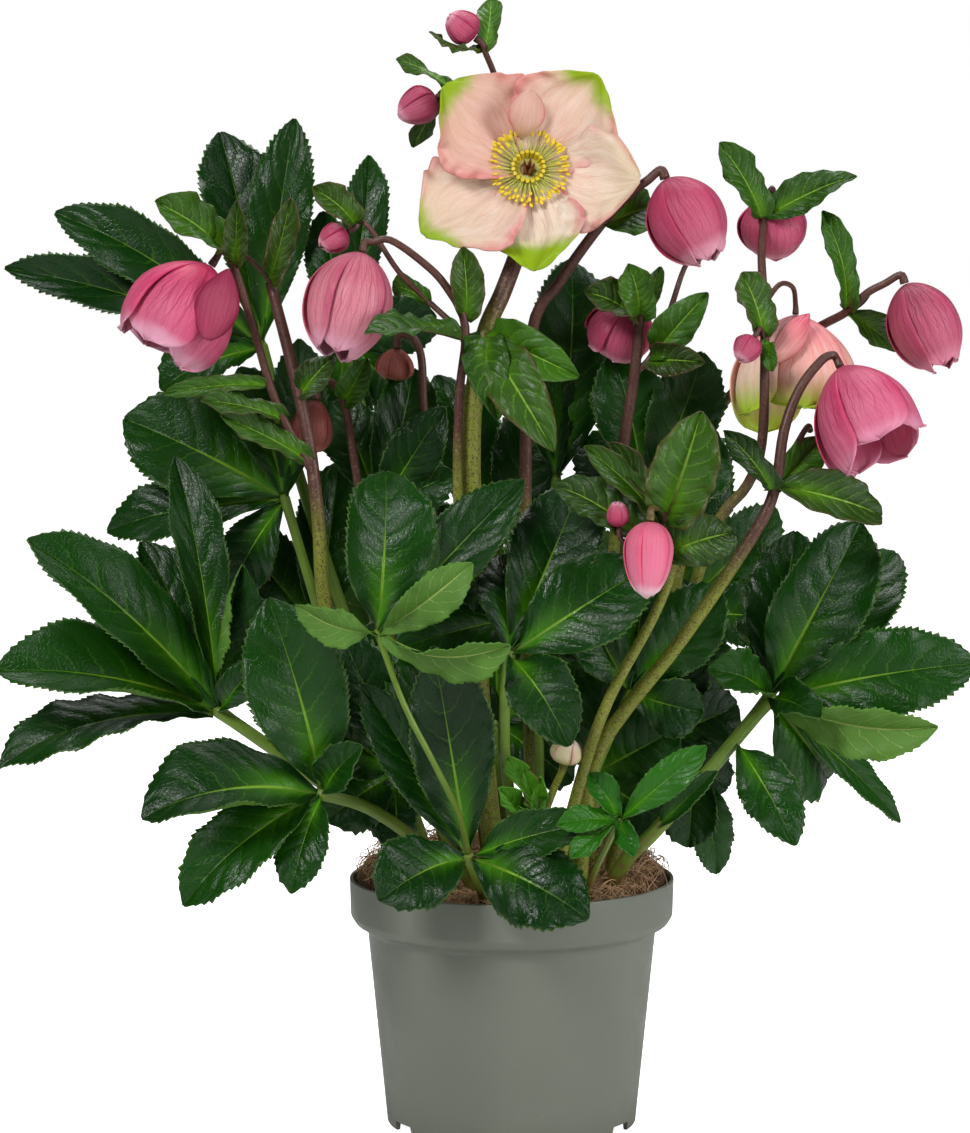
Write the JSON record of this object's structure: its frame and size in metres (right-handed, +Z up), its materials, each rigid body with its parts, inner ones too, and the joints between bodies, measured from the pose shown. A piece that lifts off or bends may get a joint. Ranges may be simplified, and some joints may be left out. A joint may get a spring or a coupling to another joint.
{
  "type": "potted christmas rose",
  "caption": "Hellebore in a round tapered nursery pot: dark divided leaves, speckled stems, nodding pink bells and one open cream flower.",
  "frame": {"origin": "middle of the pot's underside, on the surface that the pot stands on", "axes": "+Z up along the pot's axis; the plant's best side faces -Y; +X is to its right seen from there"},
  "size_m": [0.5091, 0.3287, 0.5882],
  "materials": {
    "pot_plastic": "satin",
    "root_fibre": "matte",
    "leaf": "satin",
    "stem": "satin",
    "pink_petal": "satin",
    "pale_petal": "satin",
    "open_petal": "satin",
    "brown_petal": "matte",
    "stamen": "matte"
  },
  "bodies": {
    "root": {"bloom_inner_left": "pink_petal", "bloom_left": "pink_petal", "bloom_open": "open_petal", "bloom_open_stamens": "stamen", "bloom_pale": "pale_petal", "bloom_right_back": "pink_petal", "bloom_right_edge": "pink_petal", "bloom_right_far": "pink_petal", "bloom_right_front": "pink_petal", "bloom_right_top": "pink_petal", "bud_brown_left": "brown_petal", "bud_brown_middle": "brown_petal", "bud_left": "pink_petal", "bud_low": "pale_petal", "bud_middle": "pink_petal", "bud_right": "pink_petal", "bud_small": "pink_petal", "bud_top": "pink_petal", "bud_top_left": "pink_petal", "leaf_back_left": "leaf", "leaf_back_middle": "leaf", "leaf_back_right": "leaf", "leaf_centre_back": "leaf", "leaf_centre_left": "leaf", "leaf_core_back": "leaf", "leaf_core_far_left": "leaf", "leaf_core_far_right": "leaf", "leaf_core_high": "leaf", "leaf_core_left": "leaf", "leaf_core_right": "leaf", "leaf_far_left": "leaf", "leaf_far_middle": "leaf", "leaf_far_right": "leaf", "leaf_fill_left": "leaf", "leaf_fill_right": "leaf", "leaf_front": "leaf", "leaf_front_left": "leaf", "leaf_left": "leaf", "leaf_left_back": "leaf", "leaf_middle": "leaf", "leaf_right": "leaf", "leaf_right_back": "leaf", "leaf_right_low": "leaf", "leaf_upper_left": "leaf", "leaf_upper_middle": "leaf", "leaf_young": "leaf", "pot": "pot_plastic", "root_ball": "root_fibre", "stem_brown_left": "stem", "stem_brown_middle": "stem", "stem_centre": "stem", "stem_left": "stem", "stem_low": "stem", "stem_middle": "stem", "stem_right_back": "stem", "stem_right_edge": "stem", "stem_right_far": "stem", "stem_right_front": "stem", "stem_right_top": "stem"}
  },
  "joints": []
}
